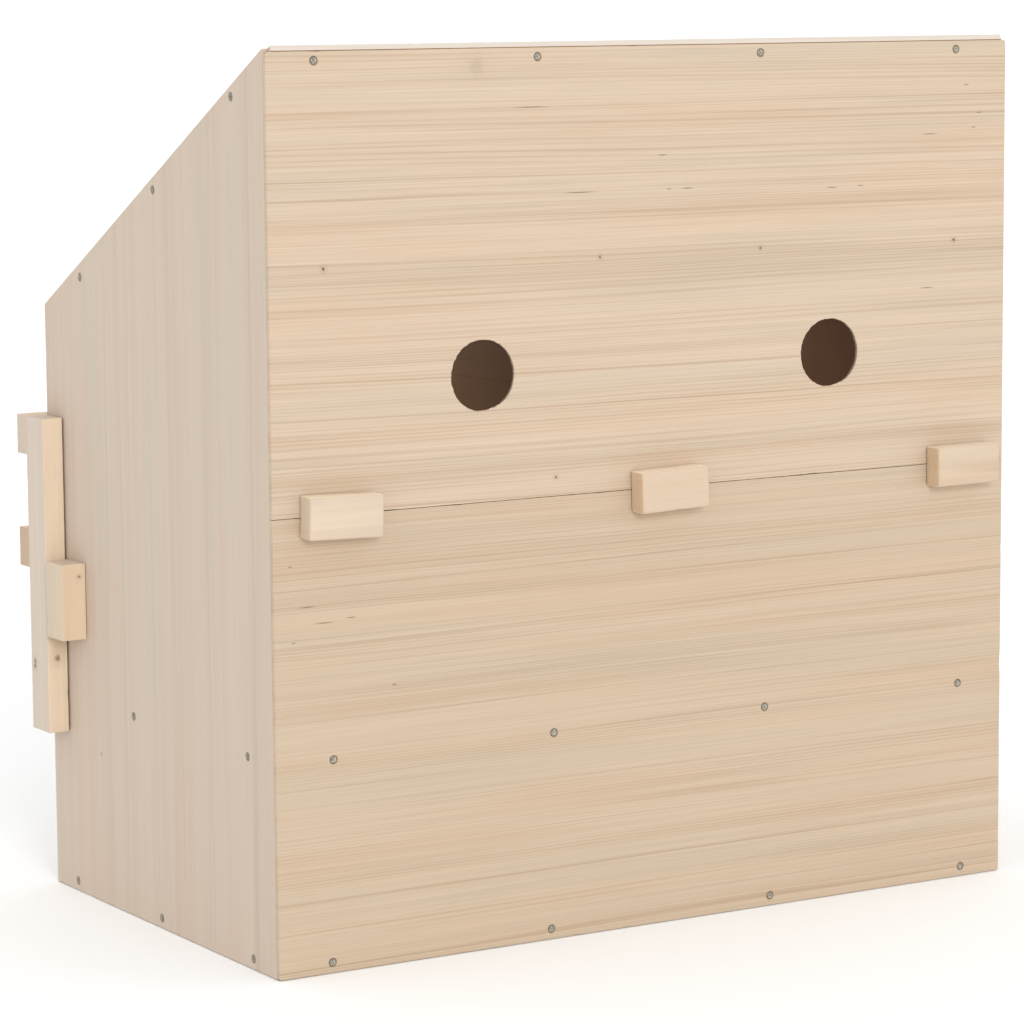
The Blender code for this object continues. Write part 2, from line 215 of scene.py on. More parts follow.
# Painted shade: faces turned into the box, and the floor's underside, take this darker, browner colour for
# the dim inside
INSIDE_SHADE_COLOUR = rgb(172, 113, 52)
GLUE_COLOUR = rgb(132, 98, 66)
PLY_END = rgb(204, 180, 156)
BATTEN_END = rgb(190, 173, 155)
KNOT_COLOUR = rgb(92, 60, 38)
# Grey round each screw: partly dirt, partly painted shade in the gap round its head
SMUDGE_AND_SHADE_COLOUR = rgb(104, 94, 80)
GRIME_COLOUR = rgb(96, 88, 76)

AXES = {"X": 0, "Y": 1, "Z": 2}


def third_axis(first, second):
    return (set(AXES) - {first, second}).pop()


class Board:
    """Where a point lies in a board: u along the grain, v across it and w through the board."""

    def __init__(self, g, along, through, seed):
        self.g = g
        coordinates = g.node("TexCoord")
        self.place = coordinates.outputs["Object"]
        split = g.node("SeparateXYZ", self.place)
        turn = g.node("SeparateXYZ", coordinates.outputs["Normal"])
        axes = (along, third_axis(along, through), through)
        self.u, self.v, self.w = (split.outputs[AXES[axis]] for axis in axes)
        self.facing = turn.outputs[AXES[through]]
        self.end_facing = turn.outputs[AXES[along]]
        self.shift = seed * 7.31
        self.slow_u = g.math("MULTIPLY_ADD", self.u, 1.6, self.shift)
        drift_u = g.math("MULTIPLY_ADD", self.u, 1.3, self.shift)
        drift = g.noise(g.vector(drift_u, g.math("MULTIPLY", self.v, 4.0), self.w), 1.6, 2.0)
        self.wavy_v = g.math("MULTIPLY_ADD", drift, 0.006, self.v)

    def drawn_out(self, along, across, layer, detail, roughness=0.55):
        """Noise drawn out along the grain; across is its fineness over the grain, per metre."""
        place = self.g.vector(along, self.g.math("MULTIPLY", self.wavy_v, across), layer)
        return self.g.noise(place, 1.0, detail, roughness)


def ground_colour(board, grain, is_ply):
    """Warm and cool streaks on the wood's ground colour; painted light makes a batten's narrow sides
    lighter all over, as if lit.
    """
    g = board.g
    warmth = board.drawn_out(g.math("MULTIPLY_ADD", board.u, 2.4, board.shift), 38.0, 3.0, 3.0)
    coolness = board.drawn_out(g.math("MULTIPLY_ADD", board.u, 1.5, board.shift), 26.0, 8.0, 3.0)
    warm = g.ramp(warmth, 0.40, 0.66)
    if not is_ply:
        # Painted light: the narrow faces of a batten are lighter all over, as if lit
        lit_narrow_side = g.ramp(g.math("ABSOLUTE", board.facing), 0.3, 0.7, 1.0, 0.0)
        warm = g.math("MAXIMUM", g.math("MULTIPLY", warm, 0.3), lit_narrow_side)
    colour = g.mix(warm, grain.base, grain.warm)
    return g.mix(g.ramp(coolness, 0.47, 0.66, 0.0, 1.0 if is_ply else 0.4), colour, grain.cool)


def year_lines(board, gap, band):
    """Dark lines about a gap apart that wander and fade, and threads eleven times as close."""
    g = board.g
    field = board.drawn_out(g.math("MULTIPLY", board.slow_u, 0.15), 24.0, board.shift, 2.0)
    fade = board.drawn_out(g.math("MULTIPLY", board.slow_u, 1.2), 60.0, board.shift, 2.0)
    wide_turn = g.math("MULTIPLY_ADD", field, 22.0, g.math("MULTIPLY", board.wavy_v, 2 * pi / gap))
    close_turn = g.math("MULTIPLY_ADD", field, 90.0, g.math("MULTIPLY", board.wavy_v, 22 * pi / gap))
    lines = g.math("MULTIPLY", g.ramp(g.math("SINE", wide_turn), 0.955, 1.0), g.ramp(fade, 0.36, 0.60))
    threads = g.math("MULTIPLY", g.ramp(g.math("SINE", close_turn), 0.1, 1.0), g.ramp(band, 0.38, 0.60))
    return lines, threads


def with_knots(board, colour, knots):
    """Dark pin knots with a faint halo, each at a place in space."""
    g = board.g
    ragged = g.noise(board.place, 700.0, 2.0)
    spots = []
    for spot, radius, depth in knots:
        near = g.node("VectorMath", board.place, spot, operation="DISTANCE").outputs["Value"]
        near = g.math("MULTIPLY_ADD", g.math("SUBTRACT", ragged, 0.5), 2.4 * radius, near)
        spots.append(g.ramp(near, 0.3 * radius, 1.5 * radius, depth, 0.0))
        spots.append(g.ramp(near, radius, 4.0 * radius, 0.16 * depth, 0.0))
    return g.mix(g.largest(spots), colour, KNOT_COLOUR)


def with_checks(board, colour, checks):
    """Short dark cracks along the grain, each with its middle and length."""
    g = board.g
    dashes = []
    for a, b, length in checks:
        slim = g.vector(g.math("MULTIPLY", g.math("SUBTRACT", board.u, a), 2.0 / length),
                        g.math("MULTIPLY", g.math("SUBTRACT", board.v, b), 1700.0), 0.0)
        near = g.node("VectorMath", slim, operation="LENGTH").outputs["Value"]
        dashes.append(g.ramp(near, 0.2, 1.1, 0.62, 0.0))
    return g.mix(g.largest(dashes), colour, KNOT_COLOUR)


def with_screw_smudges_and_shade(board, colour, screws):
    """A ragged grey smudge round each screw: partly dirt, partly painted shade in the gap round the head.
    """
    g = board.g
    rough_edge = g.noise(g.vector(board.u, board.v, board.shift), 260.0, 3.0)
    on_face = g.vector(board.u, board.v, 0.0)
    smudges_and_shade = []
    for a, b in screws:
        near = g.node("VectorMath", on_face, (a, b, 0.0), operation="DISTANCE").outputs["Value"]
        near = g.math("MULTIPLY_ADD", rough_edge, -0.0018, near)
        smudges_and_shade.append(g.ramp(near, 0.0018, 0.0030, 0.55, 0.0))
    return g.mix(g.largest(smudges_and_shade), colour, SMUDGE_AND_SHADE_COLOUR)


def with_ply_edge(board, colour, band, low, high):
    """Three veneers with glue lines between them, on a sheet's cut edges."""
    g = board.g
    layer = g.math("MULTIPLY", g.math("SUBTRACT", board.w, low), 3.0 * pi / (high - low))
    glue = g.ramp(g.math("ABSOLUTE", g.math("SINE", layer)), 0.0, 0.45, 0.8, 0.0)
    edge = g.ramp(g.math("ABSOLUTE", board.facing), 0.35, 0.75, 1.0, 0.0)
    veneer = g.mix(g.ramp(band, 0.3, 0.7), PLY_END, colour)
    cut = g.mix(g.math("MULTIPLY", glue, 0.35), veneer, GLUE_COLOUR)
    return g.mix(g.math("MULTIPLY", edge, 0.85), colour, cut)


def with_sawn_ends(board, colour, ground, end_colour):
    """Year rings and speckles on a batten's sawn ends."""
    g = board.g
    speckle = g.noise(board.place, 420.0, 3.0)
    ring_noise = g.noise(g.vector(board.shift, board.v, board.w), 55.0, 1.0)
    rings = g.math("SINE", g.math("MULTIPLY", ring_noise, 90.0))
    end = g.ramp(g.math("ABSOLUTE", board.end_facing), 0.6, 0.9)
    cut = g.mix(g.ramp(rings, -0.6, 1.0, 0.45, 0.70), ground, end_colour)
    cut = g.mix(g.ramp(speckle, 0.45, 0.80, 0.0, 0.15), cut, GLUE_COLOUR)
    return g.mix(g.math("MULTIPLY", end, 0.8), colour, cut)


def wood(name, grain, along, through, seed, screws=(), knots=(), checks=(), show=None, ply=None,
         end_colour=None):
    """A board's wood: grain runs along one axis and the board is thin through another.

    screws and checks are places along and across the grain, and knots are places in space with a radius
    and a depth of colour. show is the outward sign of the show face along the through axis; the hidden
    face, turned into the box, takes painted shade, a darker and browner colour for the dim inside. ply is
    where the sheet starts and ends through its thickness; without it the board has sawn ends, which take
    end_colour.
    """
    g = Graph(name)
    board = Board(g, along, through, seed)
    fine = board.drawn_out(g.math("MULTIPLY", board.slow_u, 3.0), 900.0,
                           g.math("MULTIPLY", board.w, 300.0), 5.0, 0.70)
    band = board.drawn_out(g.math("MULTIPLY", board.slow_u, 0.7), 75.0,
                           g.math("MULTIPLY", board.w, 30.0), 4.0, 0.62)
    pore_place = g.vector(g.math("MULTIPLY", board.u, 90.0), g.math("MULTIPLY", board.v, 2200.0), board.w)
    pores = g.noise(pore_place, 1.0, 2.0)
    lines, threads = year_lines(board, grain.line_gap, band)

    colour = ground_colour(board, grain, bool(ply))
    colour = g.mix(g.ramp(band, 0.46, 0.74, 0.0, 0.18 * grain.strength), colour, grain.line)
    colour = g.mix(g.math("MULTIPLY", lines, 0.42 * grain.strength), colour, grain.line)
    colour = g.mix(g.math("MULTIPLY", threads, 0.27 * grain.strength), colour, grain.line)
    streak = g.ramp(fine, 0.32, 0.70, 1.0 - 0.09 * grain.strength, 1.0 + 0.05 * grain.strength)
    grey = g.node("CombineColor", streak, streak, streak).outputs[0]
    colour = g.mix(1.0, colour, grey, "MULTIPLY")
    colour = g.mix(g.ramp(pores, 0.66, 0.80, 0.0, 0.12), colour, grain.line)

    if knots:
        colour = with_knots(board, colour, knots)
    if checks:
        colour = with_checks(board, colour, checks)
    if screws:
        colour = with_screw_smudges_and_shade(board, colour, screws)
    # Painted shade: a face turned into the box is mixed toward the darker, browner inside colour
    if show:
        hidden = g.ramp(g.math("MULTIPLY", board.facing, show), -0.9, -0.4, 1.0, 0.0)
        colour = g.mix(g.math("MULTIPLY", hidden, 0.85), colour, INSIDE_SHADE_COLOUR)
    if ply:
        colour = with_ply_edge(board, colour, band, *ply)
    else:
        colour = with_sawn_ends(board, colour, grain.cool, end_colour)

    height = g.math("ADD", g.math("MULTIPLY", fine, 0.6), g.math("MULTIPLY_ADD", lines, -0.4, pores))
    g.shader.inputs["Specular IOR Level"].default_value = 0.25
    return g.surface(colour, g.ramp(fine, 0.3, 0.7, 0.52, 0.66), height, 0.22, 0.0004)


def zinc_material(name, bright, dull, grimy):
    """Plated steel: two tones in clouds, with grime over them."""
    g = Graph(name)
    place = g.node("TexCoord").outputs["Object"]
    cloud = g.noise(place, 900.0, 4.0)
    grime = g.noise(place, 350.0, 2.0)
    colour = g.mix(g.ramp(cloud, 0.35, 0.7), bright, dull)
    colour = g.mix(g.ramp(grime, 0.5, 0.75, grimy, 0.5 + grimy), colour, GRIME_COLOUR)
    g.shader.inputs["Metallic"].default_value = 0.85
    return g.surface(colour, g.ramp(cloud, 0.3, 0.7, 0.34, 0.55), cloud, 0.15, 0.0001)


ZINC = zinc_material("zinc_plated_steel", rgb(196, 190, 178), rgb(158, 151, 140), 0.0)
DULL_ZINC = zinc_material("zinc_dull_steel", rgb(172, 164, 152), rgb(146, 138, 126), 0.15)
# A darker zinc for the screw heads' outer ring and lip: partly grime, partly painted shade where the head
# meets its countersink
HEAD_RIM_GRIME_AND_SHADE = zinc_material("zinc_screw_rim_grime_and_shade", rgb(150, 140, 124), rgb(126, 116, 102), 0.2)


# ---------------------------------------------------------------- mesh building

def piece(name, bm, materials, body, slot, *nodes):
    """Finish a mesh of one or more materials, ride it on its body and let it stand for CAD nodes."""
    bmesh.ops.recalc_face_normals(bm, faces=bm.faces)
    for face in bm.faces:
        face.smooth = True
    for edge in bm.edges:
        edge.smooth = edge.smooth and edge.calc_face_angle(0.0) < SHARP_ANGLE
    mesh = bpy.data.meshes.new(name)
    bm.to_mesh(mesh)
    bm.free()
    for material in materials:
        mesh.materials.append(material)
    obj = bpy.data.objects.new(name, mesh)
    bpy.context.collection.objects.link(obj)
    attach(obj, body)
    if nodes:
        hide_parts(*nodes)


def bridge(bm, first, second):
    count = len(first)
    for i in range(count):
        j = (i + 1) % count
        bm.faces.new((first[i], first[j], second[j], second[i]))


def rough(point, scale, seed):
    """Smooth noise from -1 to 1 at a point in metres."""
    x, y, z = (part * scale for part in point)
    return noise.noise(Vector((x + seed * 3.7, y - seed, z)))


def chip(point, seed):
    """Depth of a knocked spot on an edge, mostly none, and of the small nicks all along it."""
    knock = max(0.0, rough(point, 70.0, seed) - 0.34) * 0.0024
    nick = max(0.0, rough(point, 240.0, seed)) * 0.00030
    return knock + nick


def rounded_outline(corners, radii):
    """The outline with some corners rounded, and points along its straight runs."""
    count = len(corners)
    turned = []
    for i, corner in enumerate(corners):
        here = Vector(corner)
        radius = radii.get(i, 0.0)
        if not radius:
            turned.append([here])
            continue
        before = (Vector(corners[i - 1]) - here).normalized()
        after = (Vector(corners[(i + 1) % count]) - here).normalized()
        start, end = here + before * radius, here + after * radius
        arc = []
        for k in range(CORNER_STEPS + 1):
            t = k / CORNER_STEPS
            arc.append(start * (1 - t) ** 2 + here * 2 * t * (1 - t) + end * t ** 2)
        turned.append(arc)
    points = []
    for i, arc in enumerate(turned):
        points.extend(arc)
        start = arc[-1]
        run = turned[(i + 1) % count][0] - start
        steps = max(1, round(run.length / EDGE_STEP))
        points.extend(start + run * (k / steps) for k in range(1, steps))
    return points


def inward(points):
    """The unit direction from each point of a closed outline into it."""
    area = sum(a.x * b.y - b.x * a.y for a, b in zip(points, points[1:] + points[:1]))
    sign = 1.0 if area > 0 else -1.0
    ways = []
    for i, point in enumerate(points):
        run = (points[(i + 1) % len(points)] - points[i - 1]).normalized()
        ways.append(Vector((-run.y, run.x)) * sign)
    return ways


def screw_hole(centre, seed):
    """Loops of a countersunk hole, each a depth and a ring of points."""
    loops = []
    profile = (
        (0.0, SINK_RADIUS), (0.0002, SINK_RADIUS - 0.0001), (SINK_DEPTH, BORE_RADIUS), (SHEET, BORE_RADIUS))
    for depth, radius in profile:
        loop = []
        for k in range(SINK_SIDES):
            turn = 2 * pi * k / SINK_SIDES
            fray = 0.0
            if depth < 0.001:
                fray = 0.00025 * noise.noise(Vector((3 * cos(turn), 3 * sin(turn), seed)))
            reach = radius + fray
            loop.append(Vector((centre[0] + reach * cos(turn), centre[1] + reach * sin(turn))))
        loops.append((depth, loop))
    return loops


def vent_hole(centre, seed):
    """Loops of a round hole sawn a little aslant: splinters on the show face and a torn stretch below."""
    loops = []
    for depth, widen, fray in ((0.0, 0.0005, 0.0008), (0.0005, 0.0, 0.0003), (0.0021, 0.0, 0.0002),
                               (SHEET - 0.0004, 0.0, 0.0004), (SHEET, 0.0006, 0.0010)):
        loop = []
        for k in range(VENT_SIDES):
            turn = 2 * pi * k / VENT_SIDES
            out = Vector((cos(turn), sin(turn)))
            ragged = noise.noise(Vector((out.x * 9, out.y * 9, seed + depth * 300)))
            splinter = max(0.0, noise.noise(Vector((out.x * 26, out.y * 26, seed)))) * abs(out.y)
            torn = 0.0012 * max(0.0, 1 - abs(turn - 1.40 * pi) / 0.45)
            slant = (0.0012 + 0.3 * depth) * max(0.0, -out.x)
            uneven = widen * 0.5 + fray * (ragged + splinter)
            radius = VENT_RADIUS + uneven + slant - torn * (1 - depth / SHEET)
            loop.append(Vector(centre) + out * radius)
        loops.append((depth, loop))
    return loops


def sheet(place, corners, holes, radii, seed):
    """A plywood sheet: place turns (u, v, depth under the show face) into the part's frame."""
    outline = rounded_outline(corners, radii)
    ways = inward(outline)
    bm = bmesh.new()
    rings = []
    levels = ((0.0, SHEET_EASE), (SHEET_EASE, 0.0), (SHEET - SHEET_EASE, 0.0), (SHEET, SHEET_EASE))
    for depth, ease in levels:
        ring = []
        for point, way in zip(outline, ways):
            spot = (point.x, point.y, 0.0)
            fuzz = 0.00005 * (1 + rough(spot, 300.0, seed + depth * 900))
            knock = chip(spot, seed) if depth < 0.001 else chip(spot, seed + 9) * 0.5
            moved = point + way * (ease + fuzz + knock * (1.0 if ease else 0.45))
            ring.append(bm.verts.new(place(moved.x, moved.y, depth)))
        rings.append(ring)
    for first, second in zip(rings, rings[1:]):
        bridge(bm, first, second)
    top, bottom = [rings[0]], [rings[-1]]
    for loops in holes:
        walls = [[bm.verts.new(place(p.x, p.y, depth)) for p in loop] for depth, loop in loops]
        for first, second in zip(walls, walls[1:]):
            bridge(bm, first, second)
        top.append(walls[0])
        bottom.append(walls[-1])
    for loops in (top, bottom):
        vertices = [vertex for loop in loops for vertex in loop]
        for triangle in tessellate_polygon([[vertex.co for vertex in loop] for loop in loops]):
            if len(set(triangle)) == 3:
                bm.faces.new([vertices[index] for index in triangle])
        for loop in loops:
            for vertex, following in zip(loop, loop[1:] + loop[:1]):
                bm.edges.get((vertex, following)).smooth = False
    return bm


def section(wide, thick, ease):
    """A rounded rectangle about its middle: points, each with its way out and how near a corner it is."""
    points = []
    out = Vector((0, -1))
    spans = ((wide, thick, 0), (thick, wide, 1), (wide, thick, 2), (thick, wide, 3))
    for run, other, quarter in spans:
        way = Matrix.Rotation(quarter * pi / 2, 2)
        half_run, half_other = run / 2, other / 2
        steps = max(2, round((run - 2 * ease) / PLANK_STEP))
        for k in range(steps + 1):
            x = -half_run + ease + (run - 2 * ease) * k / steps
            near = max(0.0, 1 - min(k, steps - k) * 2.0)
            points.append((way @ Vector((x, -half_other)), way @ out, near))
        for k in (1, 2):
            turn = k * pi / 6
            bend = Vector((sin(turn), -cos(turn)))
            hub = Vector((half_run - ease, -half_other + ease))
            points.append((way @ (hub + bend * ease), way @ bend, 1.0))
    return points


def plank(low, high, along, seed, worn, bend, ease):
    """A sawn and planed batten that fills a box, with eased, knocked edges and slightly uneven faces."""
    low, high = Vector(low), Vector(high)
    axis = AXES[along]
    others = [k for k in range(3) if k != axis]
    size = high - low
    middle = (low + high) / 2
    length = size[axis]
    profile = section(size[others[0]], size[others[1]], ease)
    stations = [(ease * (1 - sin(k * pi / 6)), ease * (1 - cos(k * pi / 6))) for k in (3, 2, 1, 0)]
    steps = max(2, round((length - 2 * ease) / PLANK_STEP))
    inner = [(ease + (length - 2 * ease) * k / steps, 0.0) for k in range(1, steps)]
    ends = stations + inner + [(length - t, inset) for t, inset in reversed(stations)]
    bm = bmesh.new()
    rings = []
    for t, inset in ends:
        ring = []
        near_end = max(0.0, 1 - min(t, length - t) / 0.002)
        for point, out, near in profile:
            spot = (t, point.x, point.y)
            uneven = 0.00006 * (1 + rough(spot, 60.0, seed))
            knock = chip(spot, seed) * worn * max(near, near_end)
            moved = point - out * (inset + uneven + knock)
            co = Vector((0, 0, 0))
            saw = 0.00010 * (1 + rough((point.x, point.y, 0), 500.0, seed)) if near_end else 0.0
            co[axis] = low[axis] + t + (saw if t < length / 2 else -saw)
            co[others[0]] = middle[others[0]] + moved.x
            co[others[1]] = middle[others[1]] + moved.y
            ring.append(bm.verts.new(bend(co) if bend else co))
        rings.append(ring)
    for first, second in zip(rings, rings[1:]):
        bridge(bm, first, second)
    for ring in (rings[0], rings[-1]):
        close_end(bm, ring)
    return bm


def close_end(bm, ring):
    """Close a plank's end with a smaller ring and a fan."""
    middle = sum((vertex.co for vertex in ring), Vector()) / len(ring)
    inner = [bm.verts.new(vertex.co.lerp(middle, 0.35)) for vertex in ring]
    bridge(bm, ring, inner)
    hub = bm.verts.new(middle)
    for i, vertex in enumerate(inner):
        bm.faces.new((vertex, inner[(i + 1) % len(inner)], hub))


def cross_recess(x, y):
    """Depth of a cross-shaped driving recess at a place on the head."""
    arm, reach, arm_depth = 0.00042, 0.0019, 0.0012
    core, core_depth = 0.0009, 0.0013
    depth = core_depth * max(0.0, 1 - hypot(x, y) / core) ** 0.5
    for a, b in ((x, y), (y, x)):
        if abs(a) < arm and abs(b) < reach:
            depth = max(depth, arm_depth * (1 - abs(b) / reach) ** 0.5 * (1 - (abs(a) / arm) ** 4))
    return depth


def add_screw(bm, head, direction, turn, scale=1.0, length=SCREW_LENGTH):
    """A countersunk screw with a cross recess, a lip round its head and a threaded shank."""
    place = Matrix.Translation(head) @ Vector(direction).to_track_quat("Z", "Y").to_matrix().to_4x4()
    place = place @ Matrix.Rotation(turn, 4, "Z") @ Matrix.Scale(scale, 4)
    swirls = [2 * pi * i / SCREW_SIDES for i in range(SCREW_SIDES)]
    before = len(bm.faces)
    rings = []
    for k in range(1, 12):
        radius = SCREW_HEAD * k / 11.5
        ring = []
        for swirl in swirls:
            x, y = radius * cos(swirl), radius * sin(swirl)
            dome = 0.00012 * (radius / SCREW_HEAD) ** 2
            ring.append(bm.verts.new(place @ Vector((x, y, -0.00005 + dome + cross_recess(x, y)))))
        rings.append(ring)
    shape = [(SCREW_HEAD, 0.00020), (SCREW_HEAD, 0.00034), (SCREW_SHANK, 0.0021)]
    pitch = 0.0012
    turns = int((length - 0.006) / pitch)
    for k in range(turns):
        shape.append((SCREW_SHANK * 0.78, 0.0026 + pitch * k))
        shape.append((SCREW_SHANK, 0.0026 + pitch * (k + 0.5)))
    shape.append((SCREW_SHANK * 0.7, length - 0.003))
    for radius, depth in shape:
        places = (Vector((radius * cos(swirl), radius * sin(swirl), depth)) for swirl in swirls)
        rings.append([bm.verts.new(place @ spot) for spot in places])
    for first, second in zip(rings, rings[1:]):
        bridge(bm, first, second)
    hub = bm.verts.new(place @ Vector((0, 0, cross_recess(0, 0))))
    tip = bm.verts.new(place @ Vector((0, 0, length - 0.0002)))
    for ring, point in ((rings[0], hub), (rings[-1], tip)):
        for i, vertex in enumerate(ring):
            bm.faces.new((vertex, ring[(i + 1) % SCREW_SIDES], point))
    # The head's outer ring and lip take the second, darker material: painted shade where the head meets its
    # countersink, with some grime
    back_to_head = place.inverted()
    for face in list(bm.faces)[before:]:
        middle = back_to_head @ face.calc_center_median()
        face.material_index = int(hypot(middle.x, middle.y) > RIM_START)


# ---------------------------------------------------------------- screws

def nodes_named(stem):
    return sorted(name for name in frame["nodes"] if name.startswith(stem))


def head_of(node, direction):
    """Middle of a CAD screw's head."""
    low, high = (Vector(corner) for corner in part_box(node))
    head = (low + high) / 2
    for k in range(3):
        if direction[k]:
            head[k] = high[k] if direction[k] < 0 else low[k]
    return head


FORWARD, BACKWARD, INWARD, OUTWARD = (0, -1, 0), (0, 1, 0), (-1, 0, 0), (1, 0, 0)
ROWS = {
    "back_top_screw": FORWARD,
    "back_floor_screw": FORWARD,
    "back_base_screw": FORWARD,
    "side_roof_screw": INWARD,
    "side_floor_screw": INWARD,
    "side_base_screw": INWARD,
}
heads = {}
for stem, direction in ROWS.items():
    heads[stem] = [head_of(node, direction) for node in nodes_named(stem)]
    middle = ZINC if stem.startswith("back") else DULL_ZINC
    for number, (node, head) in enumerate(zip(nodes_named(stem), heads[stem])):
        low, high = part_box(node)
        length = max(high[k] - low[k] for k in range(3))
        bm = bmesh.new()
        add_screw(bm, head, direction, 0.7 * number + 0.3 * len(stem), length=length)
        piece("detailed_" + node, bm, (middle, HEAD_RIM_GRIME_AND_SHADE), "box", "zinc_hardware", node)


def screw_row(name, body, places, direction, scale=1.0):
    """Screws that the frame leaves out, as one piece."""
    bm = bmesh.new()
    for number, place in enumerate(places):
        add_screw(bm, Vector(place), direction, 0.9 * number, scale)
    piece(name, bm, (DULL_ZINC, HEAD_RIM_GRIME_AND_SHADE), body, "zinc_hardware")


def roof_z(y, depth=0.0):
    """Height at y of the roof's top face, or of a plane that much under it."""
    return FRONT_HEIGHT + RISE * (y - side_low.y) - depth / cos(SLOPE)


side_heads = heads["side_roof_screw"] + heads["side_floor_screw"] + heads["side_base_screw"]
left_heads = [Vector((-head.x, head.y, head.z)) for head in side_heads]
screw_row("side_screws_left", "box", left_heads, OUTWARD)

front_low, front_high = (Vector(corner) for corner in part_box("front_sheet"))
front_heads = [
    Vector((head.x, front_low.y, head.z)) for head in heads["back_floor_screw"] + heads["back_base_screw"]]
screw_row("front_sheet_screws", "box", front_heads, BACKWARD)

roof_way = (0, sin(SLOPE), -cos(SLOPE))
roof_heads = []
for batten in ("roof_batten_rear", "roof_batten_front"):
    low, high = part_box(batten)
    y = (low[1] + high[1]) / 2
    roof_heads += [Vector((head.x, y, roof_z(y))) for head in heads["back_floor_screw"]]
screw_row("roof_sheet_screws", "box", roof_heads, roof_way)

floor_low, floor_high = (Vector(corner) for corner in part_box("floor_sheet"))
floor_heads = []
for batten in ("floor_batten_rear", "floor_batten_front"):
    low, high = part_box(batten)
    y = (low[1] + high[1]) / 2
    floor_heads += [Vector((head.x, y, floor_high.z)) for head in heads["back_top_screw"]]
screw_row("floor_sheet_screws", "box", floor_heads, (0, 0, -1))

arm_low, arm_high = (Vector(corner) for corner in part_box("perch_arm_right"))
rail_heads = []
for rail in ("perch_rail_lower", "perch_rail_upper"):
    low, high = (Vector(corner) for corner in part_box(rail))
    for side in (-1, 1):
        x = side * (arm_low.x + arm_high.x) / 2
        rail_heads += [Vector((x, low.y, low.z + (high.z - low.z) * share)) for share in (0.27, 0.73)]
screw_row("rail_screws", "perch", rail_heads, BACKWARD, 1.15)


# ---------------------------------------------------------------- sheets

def flat(points, first, second):
    """Places on a sheet as pairs of the two axes that span it."""
    return [(point[first], point[second]) for point in points]


def add_sheet(name, grain, along, through, show, place, corners, seed, screws=(), vents=(), radii=None,
              knots=(), checks=()):
    """Sheet, holes and wood of one sheet; screws and vents are places in its own two axes."""
    holes = [screw_hole(centre, seed + k) for k, centre in enumerate(screws)]
    holes += [vent_hole(centre, seed + 20 + k) for k, centre in enumerate(vents)]
    bm = sheet(place, corners, holes, radii or {}, seed)
    low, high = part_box(name)
    axis = AXES[through]
    upright = AXES[along] > AXES[third_axis(along, through)]
    marks = [(b, a) if upright else (a, b) for a, b in screws]
    material = wood(name + "_wood", grain, along, through, seed, screws=marks, knots=knots, checks=checks,
                    show=show, ply=(low[axis], high[axis]))
    slot = "back_plywood" if name.startswith("back") else "side_plywood"
    piece("plywood_" + name, bm, (material,), "box", slot, name)


def rectangle(low_u, low_v, high_u, high_v):
    return [(low_u, low_v), (high_u, low_v), (high_u, high_v), (low_u, high_v)]


openings = frame["record"]["physics"]["openings"]
vent_openings = [opening["box_m"] for opening in openings if opening["name"].startswith("vent_")]
vents = [((low[0] + high[0]) / 2, (low[2] + high[2]) / 2) for low, high in vent_openings]
back_low, back_high = (Vector(corner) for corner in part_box("back_sheet_upper"))


def on_upper_back(u, v, depth):
    """A place on the upper back sheet, whose top follows the roof's slope."""
    y = back_high.y - depth
    return Vector((u, y, min(v, roof_z(y, SHEET + GAP))))


pin_knots = [((x, back_high.y, z), radius, depth) for x, z, radius, depth in PIN_KNOTS_UPPER]
add_sheet("back_sheet_upper", BACK_UPPER, "X", "Y", 1, on_upper_back,
          rectangle(back_low.x, back_low.z, back_high.x, back_high.z), seed=3,
          screws=flat(heads["back_top_screw"], 0, 2), vents=vents,
          radii={2: 0.0035, 3: 0.0035}, checks=CHECKS_UPPER, knots=pin_knots)
low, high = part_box("back_sheet_lower")
add_sheet("back_sheet_lower", BACK_LOWER, "X", "Y", 1, lambda u, v, d: Vector((u, back_high.y - d, v)),
          rectangle(low[0], low[2], high[0], high[2]), seed=5,
          screws=flat(heads["back_floor_screw"] + heads["back_base_screw"], 0, 2),
          radii={0: 0.0015, 1: 0.002}, checks=CHECKS_LOWER)

side_outline = [
    (side_low.y, 0.0), (side_high.y, 0.0), (side_high.y, side_high.z), (side_low.y, FRONT_HEIGHT)]
add_sheet("side_sheet_right", SIDE, "Z", "X", 1, lambda u, v, d: Vector((side_high.x - d, u, v)),
          side_outline, seed=7, screws=flat(side_heads, 1, 2), radii={2: 0.002},
          knots=[((side_high.x, -0.0992, 0.1136), 0.0012, 0.45)])
add_sheet("side_sheet_left", SIDE, "Z", "X", -1, lambda u, v, d: Vector((d - side_high.x, u, v)),
          side_outline, seed=8, screws=flat(left_heads, 1, 2), radii={2: 0.004})

add_sheet("front_sheet", SIDE, "X", "Y", -1, lambda u, v, d: Vector((u, front_low.y + d, v)),
          rectangle(front_low.x, front_low.z, front_high.x, front_high.z), seed=9,
          screws=flat(front_heads, 0, 2))
add_sheet("floor_sheet", SIDE, "X", "Z", 1, lambda u, v, d: Vector((u, v, floor_high.z - d)),
          rectangle(floor_low.x, floor_low.y, floor_high.x, floor_high.y), seed=10,
          screws=flat(floor_heads, 0, 1))

roof_low, roof_high = (Vector(corner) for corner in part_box("roof_sheet"))
roof_run = (roof_high.z - FRONT_HEIGHT) / sin(SLOPE)


def on_roof(u, v, depth):
    """A place on the roof sheet: u across, v up the slope from the front edge."""
    y = side_low.y + v * cos(SLOPE) + depth * sin(SLOPE)
    z = FRONT_HEIGHT + v * sin(SLOPE) - depth * cos(SLOPE)
    return Vector((u, y, z))


